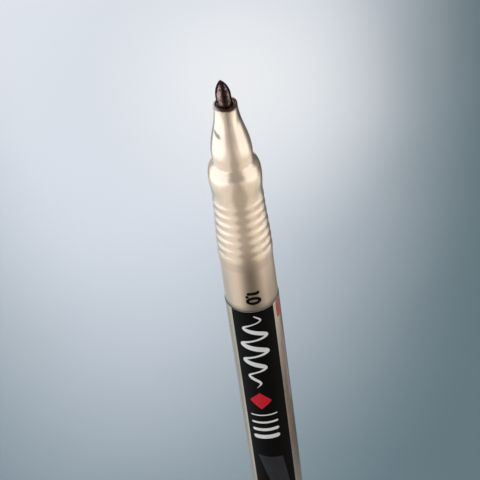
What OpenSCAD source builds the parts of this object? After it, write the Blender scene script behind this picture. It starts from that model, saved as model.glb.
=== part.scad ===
// Permanent marker with its cap posted on the tail.
// The pen stands on the flat end of the cap, nib up, with its axis on Z.

/* [Barrel] */
// Outside diameter of the barrel
barrel_d = 9; // [8.8:0.1:9.6]
// Length of the barrel from the tail plug to the seam
barrel_len = 76.5; // [60:0.5:100]
// Wall of the barrel tube
barrel_wall = 0.75; // [0.65:0.05:0.8]
// Number of ribs inside the barrel that centre the reservoir
barrel_ribs = 6; // [3:1:8]

/* [Grip section] */
// Length of the plain seat between the seam and the ribs
seat_len = 8.75; // [6:0.25:14]
// Number of finger ribs
rib_count = 7; // [4:1:10]
// Distance from one rib to the next
rib_pitch = 1.77; // [1.4:0.01:2.2]
// Depth of the grooves between the ribs
rib_depth = 0.12; // [0.05:0.01:0.2]
// Diameter of the waist above the ribs
waist_d = 8.04; // [7.9:0.02:8.2]
// Diameter of the bulge that the cap snaps over
bulge_d = 8.45; // [8.3:0.05:8.5]
// Diameter of the neck above the bulge
neck_d = 6.48; // [6.2:0.02:6.6]
// Length of the neck from the foot of the bulge to the mouth
neck_len = 10.9; // [10:0.1:14]
// Outside diameter of the mouth
mouth_d = 3.68; // [3.6:0.02:4]

/* [Nib] */
// Diameter of the fibre nib
nib_d = 2.4; // [2:0.1:2.5]
// Length of nib that stands out of the mouth
nib_out = 4.4; // [3.5:0.1:5]
// Length of the rounded nose of the nib
nose_len = 3.1; // [2.5:0.1:4]

/* [Ink reservoir] */
// Diameter of the fibre core
core_d = 6.1; // [5.6:0.1:6.1]
// Thickness of the film wrapped round the core
film_t = 0.1; // [0.05:0.01:0.1]

/* [Tail plug] */
// Length of the stub that the cap is posted on
stub_len = 12.5; // [10:0.5:14]
// Thickness of the flange between the barrel and the cap
flange_t = 1.3; // [0.8:0.1:2.5]

/* [Cap] */
// Length of the cap
cap_len = 44; // [42:0.5:50]
// Wall of the cap at its mouth
cap_wall = 0.9; // [0.8:0.05:1.2]
// How much narrower the cap is at its closed end, in radius
cap_taper = 0.55; // [0.3:0.05:0.6]
// Distance of the free end of the clip from the cap's closed end
clip_len = 38; // [30:0.5:40]
// Width of the clip at its root
clip_w = 4.6; // [3.6:0.1:6]
// Thickness of the clip at its root
clip_t = 1.25; // [1:0.05:1.5]
// Gap between the clip and the cap
clip_gap = 1.3; // [0.9:0.1:1.6]

/* [Hidden] */
$fn = 96;

champagne = [0.80, 0.72, 0.61];
ink_black = [0.07, 0.07, 0.08];
nib_brown = [0.14, 0.09, 0.09];
collar_brown = [0.11, 0.09, 0.09];
fibre_grey = [0.20, 0.18, 0.22];
film_clear = [0.90, 0.91, 0.93, 0.5];
liner_white = [0.92, 0.92, 0.89];

// Fits
seat_fit = 0.01;
post_fit = 0.07;
cap_gap = 0.2;
edge = 0.06;
lead_in = 0.15;
lead_len = 0.4;

// Heights along the pen
flange_z = cap_len + cap_gap;
tail_z = flange_z + flange_t;
seam_z = tail_z + barrel_len;

// Barrel
barrel_r = barrel_d / 2;
bore_r = barrel_r - barrel_wall;
spigot_r = bore_r - seat_fit;
spigot_len = 9;
snap_h = 0.12;
snap_half = 0.35;
snap_z = -6;
core_r = core_d / 2;
film_r = core_r + film_t + seat_fit;
core_bore_r = film_r + 0.04;
barrel_rib_w = 0.6;
plug_depth = 8;

// Grip section, heights counted from the seam
seat_r = barrel_r - 0.08;
seat_top_r = seat_r - 0.07;
crest_r = barrel_r - 0.03;
waist_r = waist_d / 2;
bulge_r = bulge_d / 2;
neck_r = neck_d / 2;
mouth_r = mouth_d / 2;
ramp_len = 2.4;
rib_steps = 12;
rib_z = seat_len + ramp_len - rib_pitch / 2;
waist_z = rib_z + rib_count * rib_pitch;
waist_len = 1.2;
bulge_z = waist_z + 3.55;
crown_z = bulge_z + 0.05;
foot_r = neck_r + 0.08;
shoulder_len = 2.65;
shoulder_drop = bulge_r - neck_r + 0.03;
shoulder_power = 2.6;
shoulder_end = 0.945;
foot_z = crown_z + shoulder_len * shoulder_end + 0.31;
mouth_z = foot_z + 0.35 + neck_len;
ogee_z = foot_z + 1.65;
collar_z = mouth_z - 0.4;
collar_r = mouth_r + 0.01;
mouth_edge = 0.08;

// Inside of the grip section
holder_r = nib_d / 2 + 0.25;
holder_bore_r = holder_r + seat_fit;
head_r = holder_r + 0.07;
head_bore_r = head_r + 0.03;
head_t = 0.35;
head_edge = 0.06;
head_depth = 0.5;
core_top = waist_z - 2.2;
chamber_r = core_bore_r - 0.2;
chamber_z = crown_z + 1.05;
cone_z = foot_z + 3.2;
fin_count = 6;
fin_t = 0.6;

// Nib and reservoir
nib_r = nib_d / 2;
nib_tip_z = mouth_z + nib_out;
nose_power = 2.4;
tip_r = 0.22;
nib_socket = 10;
nib_point = 2.4;
core_z = tail_z + plug_depth + 0.2;

// Tail plug
stub_r = bulge_r;
stub_edge = 0.5;
plug_bore_r = core_r - 0.25;
plug_end_t = 1.2;
plug_fillet = 0.8;

// Cap, heights counted from its closed end
cap_mouth_r = barrel_r + 0.1;
rim_r = cap_mouth_r + cap_wall;
end_r = rim_r - cap_taper;
end_edge = 0.9;
end_wall = 1.5;
bead_len = 2;
bead_h = 0.14;
land_r = stub_r + post_fit;
liner_top = cap_len - 20;
liner_seat_r = land_r - 0.07;
land_z = cap_len - 9;
rim_edge = 0.2;
mouth_depth = 6;
mouth_lead = 0.25;
catch_z = cap_len - 15.5;
catch_h = 0.13;
catch_half = 0.5;
vent_count = 3;
vent_angle = 46;
vent_in = 2.5;
vent_out = 3.4;

// Clip
clip_z = 1.1;
root_len = 7;
clip_in_r = shell_r(root_len) + clip_gap;
clip_out_r = clip_in_r + clip_t;
clip_thin = 0.3;
tip_half = (clip_t - clip_thin) / 2;
bump_z = clip_len - 3.4;
bump_r = 1;
bump_reach = clip_in_r - shell_r(bump_z) - 0.2;
bump_in = bump_r - bump_reach;
bump_a = acos(bump_in / bump_r);
clip_tip_w = clip_w - 1.2;
clip_sweep = 4.5;

// Inner cup of the cap
cup_r = neck_r - 0.12;
cup_wall = 0.62;
cup_z = end_wall + 0.4;
cup_end = 0.9;
cup_round = 1.2;
cup_lead = 0.45;
cup_lead_len = 1;
flange_len = 2.3;
cup_ribs = 4;
cup_rib_w = 0.8;

// Points on an arc about c, from angle a to angle b
function arc(c, r, a, b, n = 10) = [for (i = [0:n]) let (t = a + (b - a) * i / n) c + r * [cos(t), sin(t)]];

// Points on an S-curve from p to q
function ease(p, q, n = 14) = [for (i = [0:n]) let (t = i / n, s = (1 - cos(180 * t)) / 2)
    [p[0] + (q[0] - p[0]) * s, p[1] + (q[1] - p[1]) * t]];

// Outside radius of the cap at a height
function shell_r(z) = end_r + cap_taper * (z - end_edge) / (cap_len - bead_len - end_edge);

// Radius of the line over the rib crests, t runs from the lowest rib to the waist
function crest(t) = crest_r + (waist_r + rib_depth - crest_r) * (1 - cos(180 * t)) / 2;

// Soft ribs, from the crest of the lowest one to just below the groove above the last
function ribs() = [for (i = [rib_steps / 2:rib_count * rib_steps - 1]) let (n = i / rib_steps)
    [crest(n / rib_count) - rib_depth * (1 + cos(360 * n)) / 2, rib_z + n * rib_pitch]];

// Shoulder that rolls over from the crown of the bulge towards the foot of the neck
function shoulder(n = 14) = [for (i = [0:n]) let (u = shoulder_end * sin(90 * i / n))
    [bulge_r - shoulder_drop * (1 - pow(1 - pow(u, shoulder_power), 1 / shoulder_power)),
     crown_z + shoulder_len * u]];

// Nose of the nib, from its base to the blunt tip
function nose(n = 14) = [for (i = [0:n]) let (t = i / n, s = 1 - pow(t, nose_power))
    [tip_r + (nib_r - tip_r) * s, nib_tip_z - nose_len + (nose_len - tip_r / 2) * t]];

// Snap bead or groove that lifts a wall of radius r by h at height z, half its length each way
function bead(r, z, h, half) = [[r, z - half], [r + h, z], [r, z + half]];

// Moulding turned about the pen's axis
module turned(points) {
    rotate_extrude() polygon(points);
}

// Flat fins through the axis, spread evenly
module fins(count, r, t, z0, z1) {
    for (i = [0:count - 1])
        rotate(360 * i / count)
            translate([0, -t / 2, z0])
                cube([r, t, z1 - z0]);
}

// Tube with a snap groove near the seam and ribs that centre the reservoir
module barrel() {
    rib_z0 = tail_z + plug_depth + 1;
    rib_z1 = seam_z - spigot_len - 1;
    color(champagne) {
        turned(concat(
            [[bore_r, tail_z], [barrel_r - edge, tail_z], [barrel_r, tail_z + edge]],
            [[barrel_r, seam_z - edge], [barrel_r - edge, seam_z], [bore_r, seam_z]],
            bead(bore_r, seam_z + snap_z, snap_h, -snap_half)
        ));
        difference() {
            fins(barrel_ribs, bore_r + barrel_wall / 3, barrel_rib_w, rib_z0, rib_z1);
            translate([0, 0, rib_z0 - 1])
                cylinder(r = core_bore_r - 0.02, h = rib_z1 - rib_z0 + 2);
        }
    }
}

// Outline of the grip section from the seam up to the mouth
function grip_outline() = concat(
    [[seat_r - edge, 0], [seat_r, edge], [seat_top_r, seat_len]],
    ribs(),
    [[waist_r, waist_z]],
    ease([waist_r, waist_z + waist_len], [bulge_r, bulge_z]),
    shoulder(),
    [[foot_r, foot_z], [neck_r + 0.02, foot_z + 0.15], [neck_r, foot_z + 0.35]],
    ease([neck_r, ogee_z], [collar_r, collar_z]),
    [[mouth_r, mouth_z - mouth_edge], [mouth_r - mouth_edge, mouth_z]]
);

// Ribbed moulding with a spigot for the barrel, an air chamber with fins and a seat for the nib holder
module grip_section() {
    spigot = concat(
        [[core_bore_r, -spigot_len], [spigot_r - lead_in, -spigot_len], [spigot_r, lead_len - spigot_len]],
        bead(spigot_r, snap_z, snap_h - seat_fit, snap_half - seat_fit),
        [[spigot_r, 0]]
    );
    inside = [
        [head_bore_r, mouth_z], [head_bore_r, mouth_z - head_depth],
        [holder_bore_r, mouth_z - head_depth], [holder_bore_r, cone_z],
        [chamber_r, chamber_z], [chamber_r, core_top + 0.3], [core_bore_r, core_top + 0.1]
    ];
    color(champagne)
        translate([0, 0, seam_z]) {
            turned(concat(spigot, grip_outline(), inside));
            difference() {
                fins(fin_count, chamber_r + 0.2, fin_t, core_top + 0.3, chamber_z);
                translate([0, 0, core_top])
                    cylinder(r = holder_bore_r, h = chamber_z - core_top + 1);
            }
        }
}

// Fibre rod with a rounded writing end and a point that feeds from the reservoir
module nib() {
    foot = core_top - nib_socket;
    color(nib_brown)
        translate([0, 0, seam_z])
            turned(concat(
                [[0, foot], [0.2, foot], [nib_r, foot + nib_point]],
                nose(),
                [[0, nib_tip_z]]
            ));
}

// Dark collar pressed into the mouth, grooved outside to let air past
module nib_holder() {
    foot = core_top + 0.6;
    top = mouth_z - head_depth + head_t;
    groove_w = 0.35;
    groove_depth = 0.12;
    color(collar_brown)
        translate([0, 0, seam_z])
            difference() {
                turned([
                    [nib_r + seat_fit, foot], [holder_r - lead_in, foot], [holder_r, foot + lead_len],
                    [holder_r, mouth_z - head_depth], [head_r, mouth_z - head_depth],
                    [head_r, top - head_edge], [head_r - head_edge, top],
                    [nib_r + head_edge, top], [nib_r + seat_fit, top - head_edge]
                ]);
                for (i = [0:3])
                    rotate(45 + 90 * i)
                        translate([holder_r - groove_depth, -groove_w / 2, foot - 1])
                            cube([1, groove_w, top - foot + 2]);
            }
}

// Fibre core that holds the ink, with a socket for the nib
module ink_reservoir() {
    top = seam_z + core_top;
    socket_z = top - nib_socket - 0.1;
    color(fibre_grey)
        turned([
            [0, core_z], [core_r, core_z], [core_r, top], [nib_r + 0.02, top],
            [nib_r + 0.02, socket_z + nib_point], [0.22, socket_z], [0, socket_z]
        ]);
}

// Thin film round the core
module reservoir_film() {
    color(film_clear)
        turned([
            [core_r + seat_fit, core_z], [film_r, core_z],
            [film_r, seam_z + core_top], [core_r + seat_fit, seam_z + core_top]
        ]);
}

// Hollow plug: a spigot in the barrel, a flange, and a stub for posting the cap
module tail_plug() {
    stub_z = flange_z - stub_len;
    top = tail_z + plug_depth;
    floor_z = stub_z + plug_end_t;
    color(ink_black)
        turned(concat(
            [[0, stub_z], [stub_r - stub_edge, stub_z], [stub_r, stub_z + stub_edge], [stub_r, flange_z]],
            [[barrel_r - edge, flange_z], [barrel_r, flange_z + edge]],
            [[barrel_r, tail_z - edge], [barrel_r - edge, tail_z]],
            [[spigot_r, tail_z], [spigot_r, top - lead_len], [spigot_r - lead_in, top], [plug_bore_r, top]],
            arc([plug_bore_r - plug_fillet, floor_z + plug_fillet], plug_fillet, 0, -90, 6),
            [[0, floor_z]]
        ));
}

// Side outline of the clip, from its root in the cap wall round the free end and back to the root
function clip_side() = concat(
    [[end_r - 0.4, clip_z]],
    ease([end_r, clip_z], [clip_out_r, clip_z + clip_sweep]),
    arc([clip_out_r - clip_thin - tip_half, clip_len - tip_half], tip_half, 0, 180),
    arc([clip_in_r + bump_in, bump_z], bump_r, 180 - bump_a, 180 + bump_a),
    arc([clip_in_r - clip_gap / 2, root_len + clip_gap / 2], clip_gap / 2, 0, -180),
    [[end_r - 0.4, root_len + clip_gap / 2]]
);

// Front outline of the clip, narrowing to a round free end
module clip_front() {
    half = clip_tip_w / 2;
    polygon([[-clip_w / 2, 0], [clip_w / 2, 0], [half, clip_len - half], [-half, clip_len - half]]);
    translate([0, clip_len - half])
        circle(r = half);
}

// Clip that follows the round of the cap, on the -Y side
module clip() {
    intersection() {
        turned(clip_side());
        rotate([90, 0, 0])
            linear_extrude(height = clip_out_r + 1)
                clip_front();
    }
}

// Wall of the cap: round end edge, tapered outside, rim bead, stepped bore and snap bead
function cap_wall_outline() = concat(
    [[0, 0]],
    arc([end_r - end_edge, end_edge], end_edge, -90, 0),
    [for (i = [0:10]) [rim_r + bead_h * sin(18 * i), cap_len - bead_len + (bead_len - rim_edge) * i / 10]],
    [[rim_r - rim_edge, cap_len], [cap_mouth_r + mouth_lead, cap_len], [cap_mouth_r, cap_len - lead_len]],
    [[cap_mouth_r, cap_len - mouth_depth], [land_r, land_z]],
    bead(land_r, catch_z, -catch_h, -catch_half),
    [[land_r, liner_top], [liner_seat_r, liner_top], [liner_seat_r, end_wall], [0, end_wall]]
);

// Cap with its clip, open at the rim and vented through its end
module cap_shell() {
    color(ink_black)
        difference() {
            union() {
                turned(cap_wall_outline());
                clip();
            }
            for (i = [0:vent_count - 1])
                rotate(360 * i / vent_count + 90 - vent_angle / 2)
                    rotate_extrude(angle = vent_angle)
                        translate([vent_in, -1])
                            square([vent_out - vent_in, end_wall + 1.2]);
        }
}

// Inner cup that seals on the neck, held by its flange and spaced off the cap by ribs
module cap_liner() {
    out_r = cup_r + cup_wall;
    flange_r = liner_seat_r - seat_fit;
    flange_foot = liner_top - flange_len;
    cup_floor = cup_z + cup_end;
    color(liner_white) {
        turned(concat(
            [[0, cup_z]],
            arc([out_r - cup_round, cup_z + cup_round], cup_round, -90, 0),
            [[out_r, flange_foot - 0.8], [flange_r, flange_foot], [flange_r, liner_top]],
            [[cup_r + cup_lead, liner_top], [cup_r, liner_top - cup_lead_len]],
            arc([cup_r - cup_round, cup_floor + cup_round], cup_round, 0, -90),
            [[0, cup_floor]]
        ));
        difference() {
            intersection() {
                fins(cup_ribs, flange_r + 1, cup_rib_w, end_wall, flange_foot - 0.2);
                cylinder(r = flange_r, h = liner_top);
            }
            cylinder(r = cup_r + cup_wall / 2, h = liner_top);
        }
    }
}

barrel();
grip_section();
nib();
nib_holder();
ink_reservoir();
reservoir_film();
tail_plug();
cap_shell();
cap_liner();
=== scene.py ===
import math
import bmesh
import bpy
from mathutils import Matrix, Vector


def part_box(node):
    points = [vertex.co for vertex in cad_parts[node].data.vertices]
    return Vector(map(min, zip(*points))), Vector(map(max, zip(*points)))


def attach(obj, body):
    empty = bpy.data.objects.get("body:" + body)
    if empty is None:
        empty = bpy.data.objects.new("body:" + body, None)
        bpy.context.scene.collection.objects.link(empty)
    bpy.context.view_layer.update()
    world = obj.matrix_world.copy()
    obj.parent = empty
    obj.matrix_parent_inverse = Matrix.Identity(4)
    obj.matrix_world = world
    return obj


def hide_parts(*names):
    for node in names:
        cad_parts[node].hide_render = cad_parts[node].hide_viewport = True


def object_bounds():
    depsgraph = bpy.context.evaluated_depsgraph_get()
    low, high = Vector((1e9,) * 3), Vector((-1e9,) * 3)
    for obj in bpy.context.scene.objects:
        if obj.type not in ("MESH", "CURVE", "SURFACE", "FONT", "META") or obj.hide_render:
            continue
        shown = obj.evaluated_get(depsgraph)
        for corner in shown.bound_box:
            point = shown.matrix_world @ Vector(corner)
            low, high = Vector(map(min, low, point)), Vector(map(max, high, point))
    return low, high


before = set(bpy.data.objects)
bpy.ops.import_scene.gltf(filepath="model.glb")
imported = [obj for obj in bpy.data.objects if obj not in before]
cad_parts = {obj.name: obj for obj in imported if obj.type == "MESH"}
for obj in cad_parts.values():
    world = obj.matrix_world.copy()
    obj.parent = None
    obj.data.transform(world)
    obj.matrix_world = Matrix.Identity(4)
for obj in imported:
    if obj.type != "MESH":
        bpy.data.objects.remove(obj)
cadLo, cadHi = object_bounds()
scene = bpy.context.scene
scene.view_settings.view_transform = "Standard"
mm = 0.001


def heights(node):
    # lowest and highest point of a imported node, in mm
    return [corner.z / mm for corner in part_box(node)]


tailZ, seamZ = heights("barrel")
nibFootZ, tipZ = heights("nib")
holderLoZ, holderHiZ = heights("nib_holder")
plugLoZ, plugHiZ = heights("tail_plug")
mouthZ = heights("grip_section")[1]
capLen = heights("cap_shell")[1]
print("frame loaded, seam at", round(seamZ, 2), "mm")


# finishes: a socket that takes part in Python sums
class Sock:
    def __init__(self, tree, out=None):
        self.tree, self.out = tree, out

    def node(self, kind, settings=None, sockets=None, out=0):
        made = self.tree.nodes.new(kind)
        for key, value in (settings or {}).items():
            setattr(made, key, value)
        for key, value in (sockets or {}).items():
            if isinstance(value, Sock):
                self.tree.links.new(value.out, made.inputs[key])
            else:
                made.inputs[key].default_value = value
        return Sock(self.tree, made.outputs[out])

    def maths(self, operation, a, b=0.0):
        return self.node("ShaderNodeMath", {"operation": operation}, {0: a, 1: b})

    def vectorMaths(self, operation, other=(0, 0, 0), out="Vector"):
        return self.node("ShaderNodeVectorMath", {"operation": operation}, {0: self, 1: other}, out)

    def __add__(self, other):
        return self.maths("ADD", self, other)

    def __radd__(self, other):
        return self.maths("ADD", other, self)

    def __sub__(self, other):
        return self.maths("SUBTRACT", self, other)

    def __rsub__(self, other):
        return self.maths("SUBTRACT", other, self)

    def __mul__(self, other):
        return self.maths("MULTIPLY", self, other)

    def __rmul__(self, other):
        return self.maths("MULTIPLY", other, self)

    def __truediv__(self, other):
        return self.maths("DIVIDE", self, other)

    def __rtruediv__(self, other):
        return self.maths("DIVIDE", other, self)

    def __pow__(self, other):
        return self.maths("POWER", self, other)

    def __abs__(self):
        return self.maths("ABSOLUTE", self)


def between(value, low, high, newLow=0.0, newHigh=1.0):
    # smooth step of a value into another range
    ends = {0: value, 1: low, 2: high, 3: newLow, 4: newHigh}
    return value.node("ShaderNodeMapRange", {"interpolation_type": "SMOOTHSTEP"}, ends)


def larger(a, b):
    return a.maths("MAXIMUM", a, b)


def mixed(factor, a, b):
    # inputs 6 and 7 and output 2 are the node's colours
    colours = {key: value if isinstance(value, Sock) else (*value, 1) for key, value in ((6, a), (7, b))}
    return factor.node("ShaderNodeMix", {"data_type": "RGBA"}, {0: factor, **colours}, out=2)


def stretched(place, x, y, z):
    return place.vectorMaths("MULTIPLY", (x, y, z))


def newFinish(name, constants):
    # a material, its shader and the place on the object in mm
    look = bpy.data.materials.new(name)
    look.use_nodes = True
    shader = look.node_tree.nodes["Principled BSDF"]
    for key, value in constants.items():
        shader.inputs[key].default_value = value
    metres = Sock(look.node_tree).node("ShaderNodeTexCoord", out="Object")
    return look, shader, stretched(metres, 1 / mm, 1 / mm, 1 / mm)


def feed(shader, links):
    for key, value in links.items():
        value.tree.links.new(value.out, shader.inputs[key])


def noise(place, scale, detail=2.0, rough=0.5):
    sockets = {"Vector": place, "Scale": scale, "Detail": detail, "Roughness": rough}
    return place.node("ShaderNodeTexNoise", None, sockets)


def axes(place):
    return [place.node("ShaderNodeSeparateXYZ", None, {0: place}, out=i) for i in range(3)]


def aroundPen(x, y):
    # degrees round the pen's axis from the side of the clip
    return x.maths("ARCTAN2", x, 0 - y) * math.degrees(1)


def bumped(height, strength, distance):
    sockets = {"Strength": strength, "Distance": distance * mm, "Height": height}
    return height.node("ShaderNodeBump", None, sockets)


# pearl plastic of the grip and the barrel, each with a deep and a pale tone; the barrel's tones are darker,
# painted shade where the light falls off towards the tail
# in mm: names with Up count from the seam, names with Over from the mouth
champagne = dict(
    grip=((0.84, 0.67, 0.52), (0.90, 0.74, 0.585)), barrel=((0.63, 0.51, 0.40), (0.695, 0.57, 0.452)),
    metallic=0.88, rough=0.25, coat=0.25, coatRough=0.2,
    wearAndShade=(0.70, 0.55, 0.42), wearAndShadeUp=(10.3, 11.2), seatEdgeUp=(8.68, 8.8),
    shadeStreak=(0.30, 0.24, 0.185), shadeStreakUp=(16.0, 7.4), shadeStreakX=0.15, shadeStreakHalf=2.4, shadeStreakFront=(0.0, -2.0),
    low=(0.24, 0.215, 0.225), footShadeUp=(1.35, -0.1),
    mouthShade=(0.22, 0.195, 0.16), mouthShadeUp=(36.6, 38.1), mouthShadeSide=(1.25, 1.65), mouthShadeFront=(1.1, 0.3),
    rim=(0.29, 0.285, 0.26), rimOver=(-0.2, -0.02),
    stain=(0.06, 0.034, 0.024), stainOver=(0.05, 0.4), stainBore=(1.64, 1.57),
    edge=(0.16, 0.145, 0.155), shadedDirt=(0.035, 0.028, 0.024), shadedDirtSide=(-2.2, -3.6), shadedDirtUp=(-0.1, -0.04),
)
scuff = dict(angle=-52.0, r=2.45, up=35.75, slope=-32.0, halfLen=1.0, halfWidth=0.42, ragged=1.4,
             fade=(1.3, 0.2), colour=(0.29, 0.28, 0.235))


def scuffMask(place, wobble):
    # short slanting scratch: distances along and across it, in half lengths and half widths
    a, b = math.radians(scuff["angle"]), math.radians(scuff["slope"])
    middle = (scuff["r"] * math.sin(a), -scuff["r"] * math.cos(a), seamZ + scuff["up"])
    around, up = Vector((math.cos(a), math.sin(a), 0)), Vector((0, 0, 1))
    away = place.vectorMaths("SUBTRACT", middle)
    along = away.vectorMaths("DOT_PRODUCT", around * math.cos(b) + up * math.sin(b), "Value")
    across = away.vectorMaths("DOT_PRODUCT", up * math.cos(b) - around * math.sin(b), "Value")
    along, across = along / scuff["halfLen"], across / scuff["halfWidth"] + wobble * scuff["ragged"]
    return between(along * along + across * across, *scuff["fade"])


def champagneFinish(name, onGrip):
    c = champagne
    look, shader, place = newFinish(name, {"Metallic": c["metallic"], "Coat Weight": c["coat"],
                                           "Coat Roughness": c["coatRough"], "IOR": 1.5})
    x, y, z = axes(place)
    up = z - seamZ
    flake = noise(place, 9.0, 1.0)
    cloud = noise(stretched(place, 1, 1, 0.35), 0.5, 3.0)
    flow = noise(stretched(place, 1, 1, 0.06), 2.2, 2.0)
    tone = between(flake * 0.35 + cloud * 0.4 + flow * 0.25, 0.3, 0.7)
    colour = mixed(tone, *c["grip" if onGrip else "barrel"])
    rough = c["rough"] + flake * 0.08 + (cloud - 0.5) * 0.06
    if onGrip:
        over = z - mouthZ
        ragged = noise(place, 2.4, 3.0)
        # seat and first step dulled by handling, and darker: painted shade under the ribs and down the seat
        wearAndShade = between(up + (cloud - 0.5) * 0.6, *c["wearAndShadeUp"], 1.0, 0.0)
        wearAndShade = wearAndShade * between(up, *c["seatEdgeUp"], 0.65, 0.95)
        # painted dark reflection down the front of the seat
        shadeStreak = between(abs(x - c["shadeStreakX"]), c["shadeStreakHalf"], 0.0) * between(y, *c["shadeStreakFront"])
        shadeStreak = shadeStreak * between(up, *c["shadeStreakUp"])
        # the seat's foot greyed towards the seam: painted shade at the joint
        low = between(up, *c["footShadeUp"], 0.0, 0.85)
        # painted shade high on the neck, on the right and in front
        mouthShade = between(x + ragged * 0.2, *c["mouthShadeSide"])
        mouthShade = larger(mouthShade, between(abs(x), *c["mouthShadeFront"], 0.0, 0.3))
        mouthShade = mouthShade * between(up, *c["mouthShadeUp"], 0.0, 0.85)
        # ink round the mouth
        rim = between(over + ragged * 0.1 - x * 0.14, *c["rimOver"], 0.0, 0.85)
        inward = stretched(place, 1, 1, 0).vectorMaths("LENGTH", out="Value")
        stain = between(over + ragged * 0.4 + x * 0.16 - y * 0.2, *c["stainOver"])
        stain = larger(stain, between(inward, *c["stainBore"]))
        for mask, tint in ((wearAndShade, "wearAndShade"), (shadeStreak, "shadeStreak"), (low, "low"), (mouthShade, "mouthShade"), (rim, "rim"),
                           (stain, "stain")):
            colour = mixed(mask, colour, c[tint])
        scratch = scuffMask(place, ragged - 0.5)
        colour = mixed(scratch, colour, scuff["colour"])
        rough = rough + wearAndShade * 0.19 + stain * 0.12 + scratch * 0.2 + rim * 0.2
    else:
        # dirt and painted shade in the seam, darkest on the left
        seamShadeAndDirt = between(up + (flake - 0.5) * 0.06, *c["shadedDirtUp"])
        colour = mixed(seamShadeAndDirt, colour, mixed(between(x, *c["shadedDirtSide"]), c["edge"], c["shadedDirt"]))
        rough = rough + seamShadeAndDirt * 0.3
    normal = bumped(flake + flow * 0.6, 0.12, 0.02)
    feed(shader, {"Base Color": colour, "Roughness": rough, "Normal": normal})
    return look


def plainFinish(name, dark, pale, rough, grain=5.0, streak=1.0, specular=0.5, bump=0.15, depth=0.02):
    # moulded or printed surface: grain, clouds, and streaks along the pen
    look, shader, place = newFinish(name, {"Specular IOR Level": specular})
    grainNoise = noise(stretched(place, 1, 1, streak), grain, 3.0)
    cloud = noise(place, 0.45, 3.0)
    tone = between(grainNoise * 0.6 + cloud * 0.4, 0.3, 0.7)
    colour = mixed(tone, dark, pale)
    roughness = rough + (cloud - 0.5) * 0.12 + (grainNoise - 0.5) * 0.1
    feed(shader, {"Base Color": colour, "Roughness": roughness, "Normal": bumped(grainNoise, bump, depth)})
    return look


# sheenSides: painted sheen on two sides of the nib, where the lamps' reflections fall, as degrees, half
# width and share
nibInk = dict(dark=(0.010, 0.004, 0.006), paintedSheen=(0.42, 0.275, 0.245), brown=(0.11, 0.05, 0.03),
              tip=(0.026, 0.003, 0.009), edgeTint=(0.25, 0.2, 0.2, 1), metallic=0.8, rough=0.32,
              sheenShare=0.06, sheenSides=((-38, 27, 1.0), (36, 17, 0.6)))


def nibFinish():
    n = nibInk
    constants = {"Metallic": n["metallic"], "Specular Tint": n["edgeTint"]}
    look, shader, place = newFinish("nib_fibre_look", constants)
    x, y, z = axes(place)
    fibre = noise(stretched(place, 1, 1, 0.16), 4.5, 3.0, 0.6)
    fleck = noise(place, 3.2, 2.0)
    angle = aroundPen(x, y) + (fleck - 0.5) * 30
    # painted highlights of the lamps on two sides, painted shade between them
    sheenShare = n["sheenShare"]
    for middle, half, share in n["sheenSides"]:
        sheenShare = sheenShare + between(abs(angle - middle), half, half * 0.4) * share
    ends = between(z + fleck * 0.6, mouthZ + 0.2, mouthZ + 1.1) * between(z + fleck * 0.6, tipZ, tipZ - 0.7)
    tone = between(fibre * 0.45 + fleck * 0.55, 0.40, 0.60, 0.16, 1.0) * sheenShare * (0.1 + 0.9 * ends)
    base = between(z + fleck * 1.2, mouthZ + 1.9, mouthZ + 0.5) * between(fibre, 0.4, 0.6)
    soaked = mixed(base, n["dark"], n["brown"])
    soaked = mixed(between(z, tipZ - 0.8, tipZ - 0.3), soaked, n["tip"])
    colour = mixed(tone, soaked, n["paintedSheen"])
    rough = n["rough"] + (fleck - 0.5) * 0.25
    normal = bumped(fibre + fleck * 0.5, 0.3, 0.04)
    feed(shader, {"Base Color": colour, "Roughness": rough, "Normal": normal})
    return look


def filmFinish():
    look, shader, place = newFinish("clear_film_look", {"Base Color": (0.9, 0.91, 0.93, 1), "IOR": 1.46})
    crease = noise(stretched(place, 1, 1, 0.2), 1.6, 3.0)
    alpha, rough = 0.3 + crease * 0.3, 0.12 + crease * 0.15
    feed(shader, {"Alpha": alpha, "Roughness": rough, "Normal": bumped(crease, 0.3, 0.05)})
    return look


gripLook = champagneFinish("champagne_grip", True)
barrelLook = champagneFinish("champagne_barrel", False)
nibLook = nibFinish()
filmLook = filmFinish()
collarLook = plainFinish("ink_stained_collar", (0.008, 0.004, 0.003), (0.30, 0.165, 0.10), 0.5, 3.0,
                         bump=0.6, depth=0.08)
blackLook = plainFinish("semi_gloss_black", (0.010, 0.010, 0.012), (0.022, 0.022, 0.025), 0.34, 8.0)
linerLook = plainFinish("natural_liner", (0.74, 0.73, 0.69), (0.86, 0.86, 0.83), 0.5, 2.0, 0.3)
coreLook = plainFinish("soaked_core", (0.012, 0.010, 0.018), (0.09, 0.075, 0.11), 0.85, 6.0, 0.04,
                       bump=0.6, depth=0.08)
inkGrain = 7.0
panelInk = plainFinish("print_black", (0.0012, 0.001, 0.0011), (0.003, 0.0026, 0.003), 0.42, inkGrain,
                       specular=0.04)
whiteInk = plainFinish("print_white", (0.64, 0.63, 0.61), (0.75, 0.74, 0.72), 0.45, inkGrain)
redInk = plainFinish("print_red", (0.46, 0.006, 0.016), (0.58, 0.012, 0.026), 0.42, inkGrain, specular=0.12)
charcoalInk = plainFinish("print_charcoal", (0.014, 0.015, 0.019), (0.028, 0.029, 0.035), 0.42, inkGrain,
                          specular=0.12)
dashInk = plainFinish("print_dash_red", (0.30, 0.055, 0.045), (0.42, 0.09, 0.07), 0.45, inkGrain,
                      specular=0.25)
plumInk = plainFinish("print_plum", (0.24, 0.17, 0.19), (0.34, 0.26, 0.27), 0.45, inkGrain)
for node, look in (("ink_reservoir", coreLook), ("reservoir_film", filmLook), ("cap_liner", linerLook)):
    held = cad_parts[node].data.materials
    held.clear()
    held.append(look)
print("finishes made")


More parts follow.
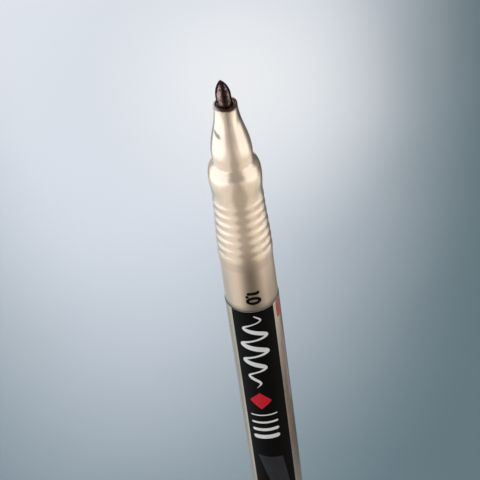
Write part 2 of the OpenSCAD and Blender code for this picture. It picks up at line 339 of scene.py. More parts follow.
# outlines in mm, as (radius, height) with an optional mark
def shares(n):
    # 0 to 1 in n equal steps
    return [i / n for i in range(n + 1)]


def arc(centre, r, a, b, n=12):
    angles = [math.radians(a + (b - a) * t) for t in shares(n)]
    return [(centre[0] + r * math.cos(t), centre[1] + r * math.sin(t)) for t in angles]


def ease(p, q, n=30):
    # half a cosine wave between two points
    points = []
    for t in shares(n):
        points.append((p[0] + (q[0] - p[0]) * (1 - math.cos(math.pi * t)) / 2, p[1] + (q[1] - p[1]) * t))
    return points


def bead(r, z, h, half, n=8):
    return [(r + h * math.cos((2 * t - 1) * math.pi / 2) ** 2, z + half * (2 * t - 1)) for t in shares(n)]


def softened(corners, n=4):
    # corners as (radius, height, fillet)
    points = []
    for i, (r, z, fillet) in enumerate(corners):
        here = Vector((r, z))
        toLast = Vector(corners[i - 1][:2]) - here
        toNext = Vector(corners[(i + 1) % len(corners)][:2]) - here
        half = toLast.angle(toNext) / 2
        reach = min(fillet / math.tan(half), 0.45 * toLast.length, 0.45 * toNext.length)
        if reach < 1e-4:
            points.append((r, z))
            continue
        start, end = toLast.normalized() * reach, toNext.normalized() * reach
        centre = (start + end).normalized() * reach / math.cos(half)
        for t in shares(n):
            swing = (start - centre).lerp(end - centre, t).normalized()
            points.append(tuple(here + centre + swing * reach * math.tan(half)))
    return points


def lifted(points, by):
    return [(p[0], p[1] + by, *p[2:]) for p in points]


def near(angle, count, first, half):
    # true where an angle lies on one of a number of evenly spread fins or grooves
    step = 360 / count
    return abs((angle - first + step / 2) % step - step / 2) <= half


def finishMesh(name, bm, look, body, sharp=35.0):
    bmesh.ops.recalc_face_normals(bm, faces=bm.faces)
    mesh = bpy.data.meshes.new(name)
    bm.to_mesh(mesh)
    bm.free()
    mesh.shade_smooth()
    mesh.set_sharp_from_angle(angle=math.radians(sharp))
    piece = bpy.data.objects.new(name, mesh)
    scene.collection.objects.link(piece)
    mesh.materials.append(look)
    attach(piece, body)
    return piece


turns = 192


def turnedMesh(outline, bend=None, slots=None):
    # closed outline turned about the pen's axis
    # bend(r, z, degrees, mark) reshapes it, slots name faces to leave open and walls to add
    bm = bmesh.new()
    rings = []
    for r, z, *mark in outline:
        if r < 1e-6:
            rings.append([bm.verts.new((0, 0, z * mm))])
            continue
        ring = []
        for i in range(turns):
            angle = 2 * math.pi * i / turns
            here = bend(r, z, math.degrees(angle), mark[0] if mark else "") if bend else r
            ring.append(bm.verts.new((here * mm * math.cos(angle), here * mm * math.sin(angle), z * mm)))
        rings.append(ring)
    opened = slots["open"] if slots else {}
    for k, low in enumerate(rings):
        high = rings[(k + 1) % len(rings)]
        if len(low) + len(high) == 2:
            continue
        for i in range(turns):
            if i in opened.get(k, ()):
                continue
            j = (i + 1) % turns
            corners = [low[i % len(low)], low[j % len(low)], high[j % len(high)], high[i % len(high)]]
            bm.faces.new(list(dict.fromkeys(corners)))
    for a, b, i, c, d, j in (slots["walls"] if slots else ()):
        bm.faces.new((rings[a][i % turns], rings[b][j % turns], rings[c][j % turns], rings[d][i % turns]))
    return bm


# barrel: straight tube with a snap groove and ribs inside that centre the reservoir
barrel = dict(r=4.5, bore=3.75, edge=0.06, snapZ=-6, snapHalf=0.35, snapH=0.12,
              ribR=3.18, ribs=6, ribHalf=4.7, ribFrom=9, ribTo=-10, ribEnd=0.05)


def barrelOutline():
    b = barrel
    shoulderR = b["r"] - b["edge"]
    ends = [(b["bore"], tailZ, 0.03), (shoulderR, tailZ, 0.02), (b["r"], tailZ + b["edge"], 0.04),
            (b["r"], seamZ - b["edge"], 0.04), (shoulderR, seamZ, 0.02), (b["bore"], seamZ, 0.03)]
    groove = bead(b["bore"], seamZ + b["snapZ"], b["snapH"], -b["snapHalf"])
    top, foot = seamZ + b["ribTo"], tailZ + b["ribFrom"]
    ribs = [(b["bore"], top), (b["bore"], top - b["ribEnd"], "rib"), (b["bore"], foot + b["ribEnd"], "rib"),
            (b["bore"], foot)]
    return softened(ends) + groove + ribs


def barrelRibs(r, z, angle, mark):
    return barrel["ribR"] if mark == "rib" and near(angle, barrel["ribs"], 0, barrel["ribHalf"]) else r


barrelMesh = turnedMesh(barrelOutline(), barrelRibs)
barrelPiece = finishMesh("barrel_tube", barrelMesh, barrelLook, "pen")
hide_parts("barrel")
print("barrel made")

# grip section, heights counted from the seam
grip = dict(
    spigotR=3.74, spigotLen=9.0, chamfer=(0.15, 0.4), snapZ=-6, snapH=0.11, snapHalf=0.34,
    seatR=4.42, seatTop=8.75, seatTopR=4.35, edge=0.06,
    crestR=4.47, ribDepth=0.062, ribs=7, pitch=1.77, ribSteps=24, ribFrom=10.265,
    waistR=4.04, waistLen=0.25, bulgeR=4.225, bulgeZ=26.05, crownZ=26.1,
    shoulderLen=2.8, shoulderDrop=1.015, shoulderPower=2.4, shoulderEnd=0.945,
    footR=3.32, footZ=29.07, neckR=3.24, ogeeFrom=30.95, collarR=1.85, collarLen=0.4, mouthR=1.84, lip=0.08,
    boreR=1.46, headR=1.55, headDepth=0.5, coneTo=32.27, coreBoreR=3.2,
    chamberR=3.0, chamberFrom=20.755, chamberTo=27.305, fins=6, finHalf=7.6, finEnd=0.03,
)
mouthUp = mouthZ - seamZ


def gripRibs():
    # ribs that narrow from the seat to the waist, from the first crest on
    g = grip
    ribs, count = [], g["ribs"] * g["ribSteps"]
    narrowing = g["waistR"] + g["ribDepth"] - g["crestR"]
    for i in range(g["ribSteps"] // 2, count):
        crest = g["crestR"] + narrowing * (1 - math.cos(math.pi * i / count)) / 2
        dip = g["ribDepth"] * (1 + math.cos(2 * math.pi * i / g["ribSteps"])) / 2
        ribs.append((crest - dip, g["ribFrom"] + i / g["ribSteps"] * g["pitch"]))
    return ribs


def gripShoulder():
    # bulge that rounds over to the foot of the neck in a superellipse
    g = grip
    shoulder, power = [], g["shoulderPower"]
    for t in shares(36):
        u = g["shoulderEnd"] * math.sin(math.pi / 2 * t)
        drop = g["shoulderDrop"] * (1 - (1 - u ** power) ** (1 / power))
        shoulder.append((g["bulgeR"] - drop, g["crownZ"] + g["shoulderLen"] * u))
    return shoulder


def gripOutline():
    g = grip
    spigot = [(g["coreBoreR"], -g["spigotLen"]), (g["spigotR"] - g["chamfer"][0], -g["spigotLen"]),
              (g["spigotR"], g["chamfer"][1] - g["spigotLen"])]
    spigot += bead(g["spigotR"], g["snapZ"], g["snapH"], g["snapHalf"]) + [(g["spigotR"], 0)]
    seat = [(g["seatR"] - g["edge"], 0), (g["seatR"] - 0.015, g["edge"] - 0.02),
            (g["seatR"], g["edge"] + 0.03)]
    ribs = gripRibs()
    rise, run = ribs[0][0] - g["seatTopR"], ribs[0][1] - g["seatTop"]
    ramp = []
    for t in shares(10)[:-1]:
        ramp.append((g["seatTopR"] + rise * math.sin(math.pi / 2 * t), g["seatTop"] + run * t))
    waistZ = g["ribFrom"] + g["ribs"] * g["pitch"]
    waist = [(g["waistR"], waistZ)]
    waist += ease((g["waistR"], waistZ + g["waistLen"]), (g["bulgeR"], g["bulgeZ"]))
    foot = [(g["footR"] + 0.07, -0.06), (g["footR"], 0), (g["neckR"] + 0.045, 0.06), (g["neckR"], 0.15),
            (g["neckR"] - 0.022, 0.24), (g["neckR"] - 0.03, 0.35)]
    foot = lifted(foot, g["footZ"])
    neck = ease((g["neckR"], g["ogeeFrom"]), (g["collarR"], mouthUp - g["collarLen"]), 60)
    lip = arc((g["mouthR"] - g["lip"], mouthUp - g["lip"]), g["lip"], 0, 90, 6)
    lip += arc((g["headR"] + g["lip"] / 2, mouthUp - g["lip"] / 2), g["lip"] / 2, 90, 180, 5)
    headZ = mouthUp - g["headDepth"]
    seatHole = [(g["headR"], headZ), (g["boreR"], headZ), (g["boreR"], g["coneTo"])]
    chamber = [(g["chamberR"], g["chamberTo"]), (g["chamberR"], g["chamberTo"] - g["finEnd"], "fin"),
               (g["chamberR"], g["chamberFrom"] + g["finEnd"], "fin"), (g["chamberR"], g["chamberFrom"]),
               (g["coreBoreR"], g["chamberFrom"] - 0.2)]
    return spigot + seat + ramp + ribs + waist + gripShoulder() + foot + neck + lip + seatHole + chamber


def gripFins(r, z, angle, mark):
    return grip["boreR"] if mark == "fin" and near(angle, grip["fins"], 0, grip["finHalf"]) else r


gripMesh = turnedMesh(lifted(gripOutline(), seamZ), gripFins)
gripPiece = finishMesh("grip_body", gripMesh, gripLook, "pen", 28)
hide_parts("grip_section")
print("grip section made")

# nib: fluted fibre rod with a bullet nose that wear has pushed a little to one side
# waves: count round the rod, twist per mm, start and share of each row of flutes
nib = dict(r=1.2, pointR=0.2, pointLen=2.4, noseLen=3.1, power=2.4, tipR=0.22,
           shift=-0.12, shiftFrom=1.2, lean=-0.16,
           flute=0.012, waves=((19, 0.3, 0.0, 1.0), (31, -0.5, 1.3, 0.7), (47, 0.0, 4.0, 0.5)))
noseZ = tipZ - nib["noseLen"]


def nibOutline():
    n = nib
    rodZ = nibFootZ + n["pointLen"]
    body = [(0, nibFootZ), (n["pointR"], nibFootZ), (n["r"], rodZ)]
    body += [(n["r"], rodZ + (noseZ - rodZ) * t, "rod") for t in shares(12)[1:-1]]
    nose = []
    for t in shares(40):
        r = n["tipR"] + (n["r"] - n["tipR"]) * (1 - t ** n["power"])
        nose.append((r, noseZ + (n["noseLen"] - n["tipR"] / 2) * t, "rod"))
    tip = [(n["tipR"] * math.cos(b), tipZ - n["tipR"] / 2 * (1 - math.sin(b))) for b in (0.5, 0.9, 1.25)]
    return body + nose + tip + [(0, tipZ)]


def nibFlutes(r, z, angle, mark):
    if mark != "rod":
        return r
    a = math.radians(angle)
    wave, most = 0.0, 0.0
    for count, twist, start, share in nib["waves"]:
        wave += share * math.cos(count * a + twist * z + start)
        most += share
    return r * (1 - nib["flute"] * (1 - wave / most) / 2)


nibMesh = turnedMesh(nibOutline(), nibFlutes)
for vert in nibMesh.verts:
    z = vert.co.z / mm
    up = max(0.0, z - noseZ) / nib["noseLen"]
    out = min(1.0, max(0.0, z - mouthZ + nib["shiftFrom"]))
    vert.co.x += (nib["shift"] * out * out * (3 - 2 * out) + nib["lean"] * up * up) * mm
nibPiece = finishMesh("nib_rod", nibMesh, nibLook, "pen", 60)
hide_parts("nib")

# collar that holds the nib in the mouth, grooved outside for air
collar = dict(r=1.45, bore=1.21, headR=1.52, headT=0.35, grooves=4, grooveR=1.33, grooveHalf=6.8)


def collarOutline():
    c = collar
    headZ = holderHiZ - c["headT"]
    return softened([(c["bore"], holderLoZ, 0), (c["r"] - 0.15, holderLoZ, 0.05),
                     (c["r"], holderLoZ + 0.4, 0.1), (c["r"], headZ, 0), (c["headR"], headZ, 0.03),
                     (c["headR"], holderHiZ, 0.07), (c["bore"] + 0.02, holderHiZ, 0.06)])


def collarGrooves(r, z, angle, mark):
    return min(r, collar["grooveR"]) if near(angle, collar["grooves"], 45, collar["grooveHalf"]) else r


collarMesh = turnedMesh(collarOutline(), collarGrooves)
collarPiece = finishMesh("nib_collar", collarMesh, collarLook, "pen")
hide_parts("nib_holder")
print("nib and collar made")

# tail plug: stub for the posted cap, flange, and a hollow spigot in the barrel
plug = dict(stubR=4.225, flangeR=4.5, flangeGap=0.2, spigotR=3.74, bore=2.8, endT=1.2)


def plugOutline():
    p = plug
    flangeZ, endZ = capLen + p["flangeGap"], plugLoZ + p["endT"]
    return softened([(0, plugLoZ, 0), (p["stubR"], plugLoZ, 0.6), (p["stubR"], flangeZ, 0.06),
                     (p["flangeR"], flangeZ, 0.08), (p["flangeR"], tailZ, 0.08), (p["spigotR"], tailZ, 0),
                     (p["spigotR"], plugHiZ, 0.25), (p["bore"], plugHiZ, 0.1), (p["bore"], endZ, 0.8),
                     (0, endZ, 0)], 6)


plugPiece = finishMesh("tail_stopper", turnedMesh(plugOutline()), blackLook, "pen")
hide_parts("tail_plug")

# cap: tapered shell with a rim bead, a stepped bore, a snap catch and three vents in its end
cap = dict(endR=4.95, endEdge=0.9, rimR=5.5, beadLen=2.0, beadH=0.134, lipOut=0.2, lipIn=0.25,
           mouthR=4.6, mouthDepth=6.0, landR=4.295, landDepth=9.0, catchZ=28.5, catchH=0.13, catchHalf=0.5,
           seatR=4.225, seatTop=24.0, endWall=1.5, ventIn=2.5, ventOut=3.4, vents=3, ventTurns=24)


def shellR(z):
    taper = (cap["rimR"] - cap["endR"]) / (capLen - cap["beadLen"] - cap["endEdge"])
    return cap["endR"] + taper * (z - cap["endEdge"])


def capOutline():
    c = cap
    end = [(0, 0), (c["ventIn"], 0), (c["ventOut"], 0)]
    end += arc((c["endR"] - c["endEdge"], c["endEdge"]), c["endEdge"], -90, 0, 14)
    wall = [(shellR(z), z) for z in range(6, 37, 6)]
    rim, beadZ = [], capLen - c["beadLen"]
    for t in shares(20):
        r = c["rimR"] + c["beadH"] * math.sin(math.pi * t)
        rim.append((r, beadZ + (c["beadLen"] - c["lipOut"]) * t))
    lip = arc((c["rimR"] - c["lipOut"], capLen - c["lipOut"]), c["lipOut"], 0, 90, 6)
    lip += arc((c["mouthR"] + c["lipIn"], capLen - c["lipIn"]), c["lipIn"], 90, 180, 6)
    bore = [(c["mouthR"], capLen - c["mouthDepth"]), (c["landR"], capLen - c["landDepth"])]
    bore += bead(c["landR"], c["catchZ"], -c["catchH"], -c["catchHalf"])
    bore += [(c["landR"], c["seatTop"]), (c["seatR"], c["seatTop"]), (c["seatR"], c["endWall"])]
    inner = [(c["ventOut"], c["endWall"]), (c["ventIn"], c["endWall"]), (0, c["endWall"])]
    return end + wall + rim + lip + bore + inner


def capVents(count):
    # rows 1-2 lie on the end face, the last rows but one on the inner face
    outerIn, outerOut, innerOut, innerIn = 1, 2, count - 3, count - 2
    middles = [turns * (90 + 360 * k / cap["vents"]) / 360 for k in range(cap["vents"])]
    spans = [round(middle) - cap["ventTurns"] // 2 for middle in middles]
    columns = [(first + i) % turns for first in spans for i in range(cap["ventTurns"])]
    walls = []
    for i in columns:
        walls.append((outerIn, outerIn, i, innerIn, innerIn, i + 1))
        walls.append((outerOut, outerOut, i, innerOut, innerOut, i + 1))
    for first in spans:
        for i in (first, first + cap["ventTurns"]):
            walls.append((outerIn, outerOut, i, innerOut, innerIn, i))
    return {"open": {outerIn: columns, innerOut: columns}, "walls": walls}


capPoints = capOutline()
capMesh = turnedMesh(capPoints, slots=capVents(len(capPoints)))
capPiece = finishMesh("cap_body", capMesh, blackLook, "cap")
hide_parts("cap_shell")

# clip: arched bar that sweeps out of the cap near its end and carries a bump near its free end
clip = dict(rootZ=1.1, sweep=4.5, innerR=6.33, outerR=7.576, thin=0.3, sink=0.3, rootTop=7.0, gap=1.3,
            endZ=38.0, rootW=4.6, tipW=3.4, leastW=0.12, bumpZ=34.6, bumpR=1.0, bumpGap=0.2, square=4.5,
            around=40)
clipGapTop = clip["rootTop"] + clip["gap"] / 2


def resampled(points, n):
    # the same line with n equal steps
    lengths = [0.0]
    for p, q in zip(points, points[1:]):
        lengths.append(lengths[-1] + math.dist(p, q))
    out = []
    for t in shares(n):
        want = lengths[-1] * t
        k = next(k for k in range(1, len(points)) if lengths[k] >= want - 1e-9)
        part = (want - lengths[k - 1]) / max(lengths[k] - lengths[k - 1], 1e-9)
        out.append(tuple(Vector(points[k - 1][:2]).lerp(Vector(points[k][:2]), part)))
    return out


def clipSection(inner, outer, halfW):
    # ring of points round the bar between an inner and an outer point of its side view
    ring = []
    for i in range(clip["around"]):
        a = 2 * math.pi * i / clip["around"]
        across = math.copysign(abs(math.cos(a)) ** (2 / clip["square"]), math.cos(a))
        through = math.copysign(abs(math.sin(a)) ** (2 / clip["square"]), math.sin(a))
        r = inner[0] + (outer[0] - inner[0]) * (through + 1) / 2
        z = inner[1] + (outer[1] - inner[1]) * (through + 1) / 2
        turn = math.asin(max(-1, min(1, across * halfW / r)))
        ring.append((r * math.sin(turn) * mm, -r * math.cos(turn) * mm, z * mm))
    return ring


def clipWidth(z):
    tip = clip["tipW"] / 2
    side = clip["rootW"] / 2 + (tip - clip["rootW"] / 2) * min(1, z / (clip["endZ"] - tip))
    over = z - (clip["endZ"] - tip)
    return side if over < 0 else math.sqrt(max(0.0, tip * tip - over * over))


def clipSides():
    # pairs of inner and outer points of the side view, from the root over the arch to the free end
    c = clip
    wallR, rootR = cap["endR"], cap["endR"] - c["sink"]
    outerRoot = resampled(ease((wallR - 0.05, c["rootZ"]), (c["outerR"], c["rootZ"] + c["sweep"])), 24)
    innerRoot = resampled([(rootR, c["rootZ"]), (rootR, c["rootTop"])], 24)
    outerArch = resampled([outerRoot[-1], (c["outerR"] - 0.02, c["rootTop"] + 2.5)], 16)
    gapArc = arc((c["innerR"] - c["gap"] / 2, clipGapTop), c["gap"] / 2, 180, 360, 14)
    innerArch = resampled([innerRoot[-1], (rootR, clipGapTop)] + gapArc, 16)
    tipHalf = (c["outerR"] - c["thin"] - c["innerR"]) / 2
    tipMid = (c["innerR"] + tipHalf, c["endZ"] - tipHalf)
    barTop = (c["outerR"] - c["thin"], c["endZ"] - tipHalf)
    outerBar = resampled([outerArch[-1], barTop] + arc(tipMid, tipHalf, 0, 88, 8), 90)
    reach = c["innerR"] - shellR(c["bumpZ"]) - c["bumpGap"]
    swing = math.degrees(math.acos((c["bumpR"] - reach) / c["bumpR"]))
    bumpArc = arc((c["innerR"] + c["bumpR"] - reach, c["bumpZ"]), c["bumpR"], 180 + swing, 180 - swing, 14)
    innerBar = resampled([innerArch[-1]] + bumpArc + arc(tipMid, tipHalf, 180, 92, 8), 90)
    pairs = list(zip(innerRoot, outerRoot))
    pairs += list(zip(innerArch, outerArch))[1:]
    return pairs + list(zip(innerBar, outerBar))[1:]


def clipMesh():
    bm = bmesh.new()
    rings = []
    for inner, outer in clipSides():
        width = max(clipWidth((inner[1] + outer[1]) / 2), clip["leastW"])
        rings.append([bm.verts.new(point) for point in clipSection(inner, outer, width)])
    for low, high in zip(rings, rings[1:]):
        for i in range(len(low)):
            j = (i + 1) % len(low)
            bm.faces.new((low[i], low[j], high[j], high[i]))
    for ring in (rings[0], rings[-1]):
        middle = bm.verts.new(sum((v.co for v in ring), Vector()) / len(ring))
        for i in range(len(ring)):
            bm.faces.new((ring[i], ring[(i + 1) % len(ring)], middle))
    return bm


clipPiece = finishMesh("cap_clip", clipMesh(), blackLook, "cap", 50)
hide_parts("cap_shell")
print("tail plug, cap and clip made")

# print: thin closed films of ink, u in mm round the barrel from the side of the clip, v up from the seam
ink = dict(under=0.003, panelT=0.006, markT=0.012, stepU=0.14)


def inkStrip(name, rails, look, level, r=barrel["r"], closed=False):
    # rails are pairs of (u, v) points, left and right, along the strip
    bm = bmesh.new()
    across = max(2, math.ceil(max(math.dist(a, b) for a, b in rails) / ink["stepU"]))
    layers = []
    for height in (ink["under"] if level == ink["panelT"] else ink["panelT"], level + ink["under"]):
        reach = (r + height) * mm
        rows = []
        for a, b in rails:
            row = []
            for t in shares(across):
                u, v = (a[m] + (b[m] - a[m]) * t for m in (0, 1))
                x, y = reach * math.sin(u / r), -reach * math.cos(u / r)
                row.append(bm.verts.new((x, y, (seamZ + v) * mm)))
            rows.append(row)
        layers.append(rows)
    low, high = layers
    count = len(rails) if closed else len(rails) - 1
    for i in range(count):
        j = (i + 1) % len(rails)
        for rows in layers:
            for k in range(across):
                bm.faces.new((rows[i][k], rows[i][k + 1], rows[j][k + 1], rows[j][k]))
        for k in (0, across):
            bm.faces.new((low[i][k], low[j][k], high[j][k], high[i][k]))
    if not closed:
        for i in (0, len(rails) - 1):
            for k in range(across):
                bm.faces.new((low[i][k], low[i][k + 1], high[i][k + 1], high[i][k]))
    return finishMesh(name, bm, look, "pen", 30)


def stroke(points, halfWidths):
    # rails on both sides of a centre line
    rails = []
    for i, p in enumerate(points):
        ahead = Vector(points[min(i + 1, len(points) - 1)]) - Vector(points[max(i - 1, 0)])
        side = Vector((-ahead.y, ahead.x)).normalized() * halfWidths[i]
        rails.append((tuple(Vector(p) + side), tuple(Vector(p) - side)))
    return rails


def roundEnds(length, half, n=10):
    # half widths along a stroke with round ends, as (distance, half width)
    cut = [half * (1 - math.cos(math.pi / 2 * t)) for t in shares(n)]
    ends = [(d, math.sqrt(max(half * half - (half - d) ** 2, 1e-4 * half * half))) for d in cut]
    steps = math.ceil((length - 2 * half) / ink["stepU"])
    middle = [(half + (length - 2 * half) * i / steps, half) for i in range(1, steps)]
    return ends + middle + [(length - d, w) for d, w in reversed(ends)]


panel = dict(left=-54.0, right=45.0, top=-0.1, bottom=-66.0, corner=1.4)


def panelRails():
    p = panel
    left, right = (math.radians(p[side]) * barrel["r"] for side in ("left", "right"))
    rails = []
    for t in shares(60):
        v = p["top"] + (p["bottom"] + p["corner"] - p["top"]) * t
        rails.append(((left, v), (right, v)))
    for t in shares(10)[1:]:
        a = math.pi / 2 * t
        pull, v = p["corner"] * (1 - math.cos(a)), p["bottom"] + p["corner"] * (1 - math.sin(a))
        rails.append(((left + pull, v), (right - pull, v)))
    return rails


inkStrip("print_panel", panelRails(), panelInk, ink["panelT"])

wave = dict(top=-1.0, bottom=-18.6, middle=(-0.3, -1.3), swing=(2.7, 1.5), waves=4.5, thin=0.20, thick=0.55)


def waveRails():
    w = wave
    points, halves = [], []
    for t in shares(180):
        swell = math.sin(math.pi * t) ** 0.5
        angle = 2 * math.pi * w["waves"] * t
        middle, swing = (w[key][0] + (w[key][1] - w[key][0]) * t for key in ("middle", "swing"))
        points.append((middle + swing * swell * math.sin(angle), w["top"] + (w["bottom"] - w["top"]) * t))
        half = w["thin"] + (w["thick"] - w["thin"]) * (0.5 + 0.5 * math.cos(angle))
        halves.append(half * max(swell, 0.05))
    return stroke(points, halves)


inkStrip("print_wave", waveRails(), whiteInk, ink["markT"])

samples = dict(first=-25.6, step=-1.9, widths=(0.14, 0.24, 0.36, 0.5), length=4.8, middle=-0.85, slant=0.35)


def sampleRails(v, half):
    s = samples
    points, halves = [], []
    for d, w in roundEnds(s["length"], half):
        points.append((s["middle"] - s["length"] / 2 + d, v + s["slant"] * (d / s["length"] - 0.5)))
        halves.append(w)
    return stroke(points, halves)


for i, half in enumerate(samples["widths"]):
    rails = sampleRails(samples["first"] + samples["step"] * i, half)
    inkStrip("print_sample_%d" % (i + 1), rails, whiteInk, ink["markT"])

lozenge = dict(middle=(-1.05, -21.9), halfU=2.1, halfV=2.1, blunt=0.12)


def lozengeRails():
    z = lozenge
    rails = []
    for t in shares(40):
        down = 2 * t - 1
        half = z["halfU"] * max(1 - math.hypot(down, z["blunt"]) / math.hypot(1, z["blunt"]), 0.01)
        v = z["middle"][1] - z["halfV"] * down
        rails.append(((z["middle"][0] - half, v), (z["middle"][0] + half, v)))
    return rails


inkStrip("print_lozenge", lozengeRails(), redInk, ink["markT"])

sweep = dict(top=-36.5, bottom=-60.0, left=-3.0, topRight=1.5, bottomRight=3.0, slant=0.5, point=0.05,
             power=0.9)


def sweepRails():
    s = sweep
    rails = []
    for t in shares(60):
        v = s["top"] + (s["bottom"] - s["top"]) * t
        right = s["topRight"] + (s["bottomRight"] - s["topRight"]) * math.sin(math.pi / 2 * t)
        left = s["left"] + (right - s["left"] - s["point"]) * t ** s["power"]
        rails.append(((left, v), (right, v - s["slant"] * (1 - t))))
    return rails


inkStrip("print_sweep", sweepRails(), charcoalInk, ink["markT"])

# short red dash and long plum line beside the panel, at degrees round the barrel
sideMarks = dict(
    print_dash=dict(angle=61.0, top=-0.12, length=3.9, half=0.6, look=dashInk),
    print_line=dict(angle=69.0, top=-8.0, length=17.0, half=0.4, look=plumInk),
)
for name, mark in sideMarks.items():
    u = math.radians(mark["angle"]) * barrel["r"]
    ends = roundEnds(mark["length"], mark["half"])
    rails = stroke([(u, mark["top"] - d) for d, w in ends], [w for d, w in ends])
    inkStrip(name, rails, mark["look"], ink["markT"])

# size numerals on the seat, read towards the tail: places along the number, flagFoot also down from its top
numerals = dict(u=0.15, v=4.4, height=2.6, half=0.28, one=0.42, flagFoot=(0.05, 0.62), point=1.06,
                loop=2.05, loopHalf=0.58, loopSteps=48, steps=200)


def numeralPoint(along, up):
    return (numerals["u"] + up - numerals["height"] / 2, numerals["v"] - along)


def numeralLine(points):
    total = sum(math.dist(p, q) for p, q in zip(points, points[1:]))
    ends = roundEnds(total, numerals["half"], 6)
    path = resampled(points, numerals["steps"])
    return stroke([path[round(d / total * numerals["steps"])] for d, w in ends], [w for d, w in ends])


def numeralLoop():
    n = numerals
    rails = []
    for i in range(n["loopSteps"]):
        a = 2 * math.pi * i / n["loopSteps"]
        pair = []
        for edge in (-n["half"], n["half"]):
            wide, tall = n["loopHalf"] + edge, n["height"] / 2 - n["half"] + edge
            pair.append(numeralPoint(n["loop"] + wide * math.cos(a), n["height"] / 2 + tall * math.sin(a)))
        rails.append(tuple(pair))
    return rails


onSeat = dict(look=panelInk, level=ink["markT"], r=grip["seatR"])
half, topUp = numerals["half"], numerals["height"] - numerals["half"]
oneTop = numeralPoint(numerals["one"], topUp)
flagAlong, flagDown = numerals["flagFoot"]
flagFoot = numeralPoint(flagAlong, numerals["height"] - flagDown)
pointEnds = [numeralPoint(numerals["point"] + side, half) for side in (-half, half)]
inkStrip("numeral_one", numeralLine([numeralPoint(numerals["one"], half), oneTop]), **onSeat)
inkStrip("numeral_flag", numeralLine([flagFoot, oneTop]), **onSeat)
inkStrip("numeral_point", numeralLine(pointEnds), **onSeat)
inkStrip("numeral_loop", numeralLoop(), closed=True, **onSeat)
print("print made")


# stage: pale floor with a painted glow and a brighter painted pool of light behind the pen, painted grey
# shade round the glow, painted warm shade in front, in mm
floorSet = dict(
    size=6.0, drop=0.0002, cloudScale=0.02, cloudShare=0.05,
    middle=(-16.5, 294.0), spread=(105.0, 261.5), slant=-0.256, glow=(0.459, 1.076),
    pale=(0.74, 0.80, 0.885), greyShade=(0.142, 0.209, 0.241),
    lightPoolMiddle=(7.8, 212.0), lightPoolSpread=(53.0, 79.5), lightPoolShare=0.96, lightPool=(0.935, 0.965, 1.0),
    warmShade=(0.46, 0.418, 0.355), warmShadeY=(40.0, -40.0),
    farMiddle=(0.0, 100.0), far=(260.0, 560.0), behind=(285.0, 380.0), farTone=(0.80, 0.82, 0.84),
)


def addFloor():
    f = floorSet
    mesh = bpy.data.meshes.new("floor")
    h = f["size"] / 2
    z = cadLo.z - f["drop"]
    mesh.from_pydata([(-h, -h, z), (h, -h, z), (h, h, z), (-h, h, z)], [], [(0, 1, 2, 3)])
    look, shader, place = newFinish("pale_floor", {"Roughness": 0.7, "Specular IOR Level": 0.2})
    x, y, _ = axes(place)

    def distance(middle, spread=(1.0, 1.0), slant=0.0):
        # from a middle, in spreads to each side, with its long axis slanted
        across, along = (x - middle[0]) / spread[0], (y - middle[1] + (x - middle[0]) * slant) / spread[1]
        return (across * across + along * along) ** 0.5

    away = distance(f["middle"], f["spread"], f["slant"])
    away = away + (noise(place, f["cloudScale"]) - 0.5) * f["cloudShare"]
    # painted glow fading into painted grey shade, a painted pool of light, painted warm shade in front,
    # pale far away
    colour = mixed(between(away, *f["glow"]), f["pale"], f["greyShade"])
    lightPool = between(distance(f["lightPoolMiddle"], f["lightPoolSpread"]), 1.0, 0.0, 0.0, f["lightPoolShare"])
    colour = mixed(lightPool, colour, f["lightPool"])
    colour = mixed(between(y, *f["warmShadeY"]), colour, f["warmShade"])
    distant = larger(between(distance(f["farMiddle"]), *f["far"]), between(y, *f["behind"]))
    feed(shader, {"Base Color": mixed(distant, colour, f["farTone"])})
    mesh.materials.append(look)
    piece = bpy.data.objects.new("floor", mesh)
    scene.collection.objects.link(piece)


# dark cloth in arcs well away from the pen, seen only as dark stripes in its reflections
# foot and top radius, degrees round the pen, heights, and how far the sides (soft) and the top (thin) fade
cards = dict(
    strip=dict(foot=66, top=95, first=77, last=172, soft=9, low=2, high=34, thin=8,
               colour=(0.04, 0.037, 0.045)),
    side=dict(foot=98, top=98, first=124, last=157, soft=3, low=2, high=200, thin=1,
              colour=(0.05, 0.045, 0.04)),
    edge=dict(foot=101, top=101, first=96, last=126, soft=12, low=80, high=200, thin=1,
              colour=(0.05, 0.045, 0.04)),
)
cardSteps = 24


def addCard(name, card):
    corners, faces = [], []
    for i, t in enumerate(shares(cardSteps)):
        a = math.radians(card["first"] + (card["last"] - card["first"]) * t)
        for r, height in ((card["foot"], card["low"]), (card["top"], card["high"])):
            corners.append(Vector((r * math.sin(a), -r * math.cos(a), height)) * mm)
        if i:
            faces.append((2 * i - 2, 2 * i, 2 * i + 1, 2 * i - 1))
    mesh = bpy.data.meshes.new(name + "_card")
    mesh.from_pydata(corners, [], faces)
    look, shader, place = newFinish(name + "_cloth", {"Base Color": (*card["colour"], 1), "Roughness": 0.9})
    x, y, z = axes(place)
    angle = aroundPen(x, y)
    sides = between(angle, card["first"], card["first"] + card["soft"])
    sides = sides * between(angle, card["last"], card["last"] - card["soft"])
    feed(shader, {"Alpha": sides * between(z, card["high"], card["high"] - card["thin"])})
    mesh.materials.append(look)
    piece = bpy.data.objects.new(name + "_card", mesh)
    piece.visible_camera = piece.visible_shadow = piece.visible_diffuse = False
    scene.collection.objects.link(piece)


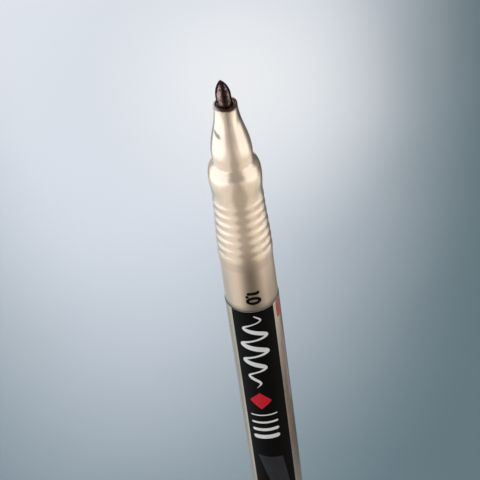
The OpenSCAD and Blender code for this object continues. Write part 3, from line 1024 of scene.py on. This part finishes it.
# softboxes: tall ones left and right, low ones that face up from the floor, one behind
lamps = dict(
    left=dict(at=(-150, -75, 232), aim=(0, -75, 232), size=(370, 376), level=1.29,
              colour=(0.76, 0.86, 1.0)),
    right=dict(at=(150, -75, 229), aim=(0, -75, 229), size=(250, 362), level=1.03,
               colour=(0.92, 0.95, 1.0)),
    leftLow=dict(at=(-181, -280, 1), size=(238, 640), level=0.50, colour=(0.96, 0.98, 1.0)),
    leftBack=dict(at=(-209, 100, 1), size=(182, 120), level=0.75, colour=(0.90, 0.95, 1.0)),
    leftWall=dict(at=(-84, 70, 1), size=(68, 60), level=0.06, colour=(0.90, 0.95, 1.0)),
    rightLow=dict(at=(201, -286, 1), size=(218, 628), level=0.49, colour=(1.0, 0.97, 0.94)),
    rightBack=dict(at=(218, 75, 1), size=(186, 94), level=0.8, colour=(1.0, 0.97, 0.94)),
    back=dict(at=(-200, 420, 380), aim=(-20, 150, 0), size=(300, 300), level=5.0, colour=(1.0, 1.0, 1.0)),
)
sky = dict(colour=(1.0, 0.94, 0.87, 1), level=0.35)


def addLamp(name, lamp):
    light = bpy.data.lights.new(name + "_softbox", "AREA")
    light.shape = "RECTANGLE"
    light.size, light.size_y = (s * mm for s in lamp["size"])
    light.energy = lamp["level"] * math.pi * light.size * light.size_y
    light.color = lamp["colour"]
    holder = bpy.data.objects.new(name + "_softbox", light)
    at = Vector(lamp["at"])
    towards = Vector(lamp["aim"]) - at if "aim" in lamp else Vector((0, 0, 1))
    holder.location = at * mm
    holder.rotation_euler = towards.to_track_quat("-Z", "Y").to_euler()
    holder.visible_camera = False
    scene.collection.objects.link(holder)


def addSky():
    world = bpy.data.worlds.new("studio")
    world.use_nodes = True
    scene.world = world
    background = world.node_tree.nodes["Background"]
    background.inputs["Color"].default_value = sky["colour"]
    background.inputs["Strength"].default_value = sky["level"]


# camera: seamAt is the pixel of the seam's middle in a square image
view = dict(elevation=43.0, distance=300.0, lens=136.25, sensor=36.0, roll=-8.1, seamAt=(251.6, 292.6),
            image=480)


def addCamera():
    lens = bpy.data.cameras.new("camera")
    lens.lens, lens.sensor_width = view["lens"], view["sensor"]
    rise, roll = math.radians(view["elevation"]), math.radians(view["roll"])
    ahead = Vector((0, math.cos(rise), -math.sin(rise)))
    level = Vector((1, 0, 0))
    upright = level.cross(ahead)
    right = level * math.cos(roll) + upright * math.sin(roll)
    up = upright * math.cos(roll) - level * math.sin(roll)
    pixels = view["lens"] / view["sensor"] * view["image"]
    across, down = ((p - view["image"] / 2) / pixels for p in view["seamAt"])
    eye = Vector((0, 0, seamZ)) - view["distance"] * (ahead + right * across - up * down)
    camera = bpy.data.objects.new("camera", lens)
    pose = Matrix((right, up, -ahead)).transposed().to_4x4()
    pose.translation = eye * mm
    camera.matrix_world = pose
    scene.collection.objects.link(camera)
    scene.camera = camera


addFloor()
for name, card in cards.items():
    addCard(name, card)
for name, lamp in lamps.items():
    addLamp(name, lamp)
addSky()
addCamera()
print("stage set")
